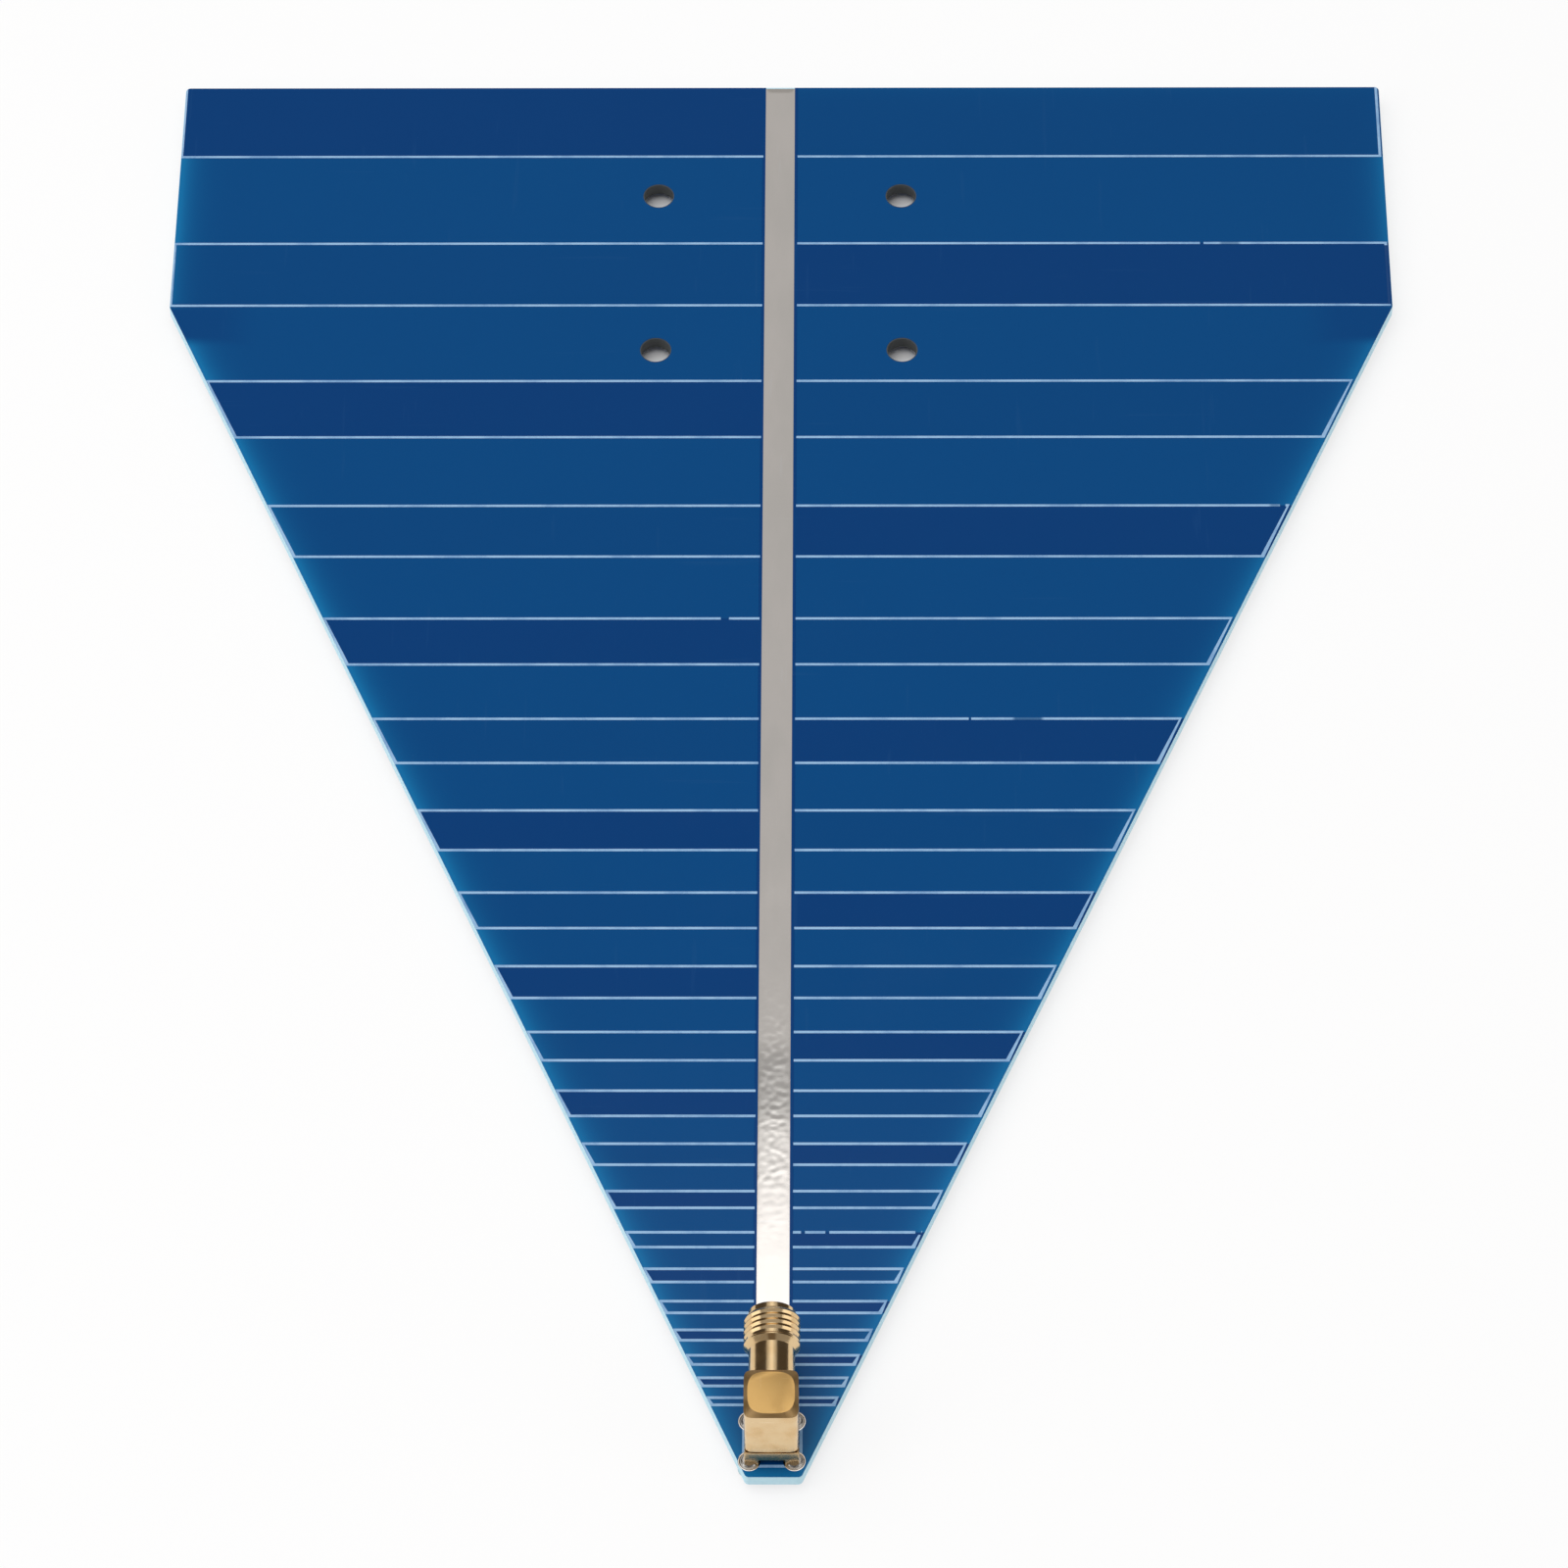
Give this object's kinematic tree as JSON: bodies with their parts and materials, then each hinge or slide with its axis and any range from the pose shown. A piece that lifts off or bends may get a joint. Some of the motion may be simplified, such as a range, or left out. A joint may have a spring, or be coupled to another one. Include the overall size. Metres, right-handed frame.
{
  "type": "log-periodic antenna board",
  "caption": "Flat printed log-periodic dipole array on a tapered board, with a right-angle threaded coaxial jack at its narrow tip.",
  "frame": {"origin": "middle of the four mounting holes, on the back face of the laminate", "axes": "+Z out of the front face, which carries the jack; +Y along the board from the narrow tip to the wide end; X = 0 on the line of the etched and drilled pattern"},
  "size_m": [0.1546, 0.2049, 0.0138],
  "materials": {
    "laminate": "glass-epoxy laminate, routed edges pale with cut fibres",
    "copper": "copper foil and hole plating, covered or coated all over",
    "solder_mask": "thin blue solder mask, satin to glossy, the copper showing through darker",
    "solder_coat": "hot-air levelled solder, bright, crinkled in places",
    "solder": "bright solder joint",
    "legend": "printed white ink lines, slightly worn",
    "gold": "gold plate over turned brass, bright",
    "insulator": "white fluoropolymer, waxy"
  },
  "bodies": {
    "root": {"laminate": "laminate", "copper_front": "copper", "copper_back": "copper", "hole_plating": "copper", "mask_front": "solder_mask", "mask_back": "solder_mask", "tin_front": "solder_coat", "tin_back": "solder_coat", "legend_front": "legend", "jack_body": "gold", "jack_barrel": "gold", "barrel_insulator": "insulator", "body_insulator": "insulator", "centre_contact": "gold", "centre_pin": "gold", "solder_legs": "solder", "solder_pin": "solder"}
  },
  "joints": []
}
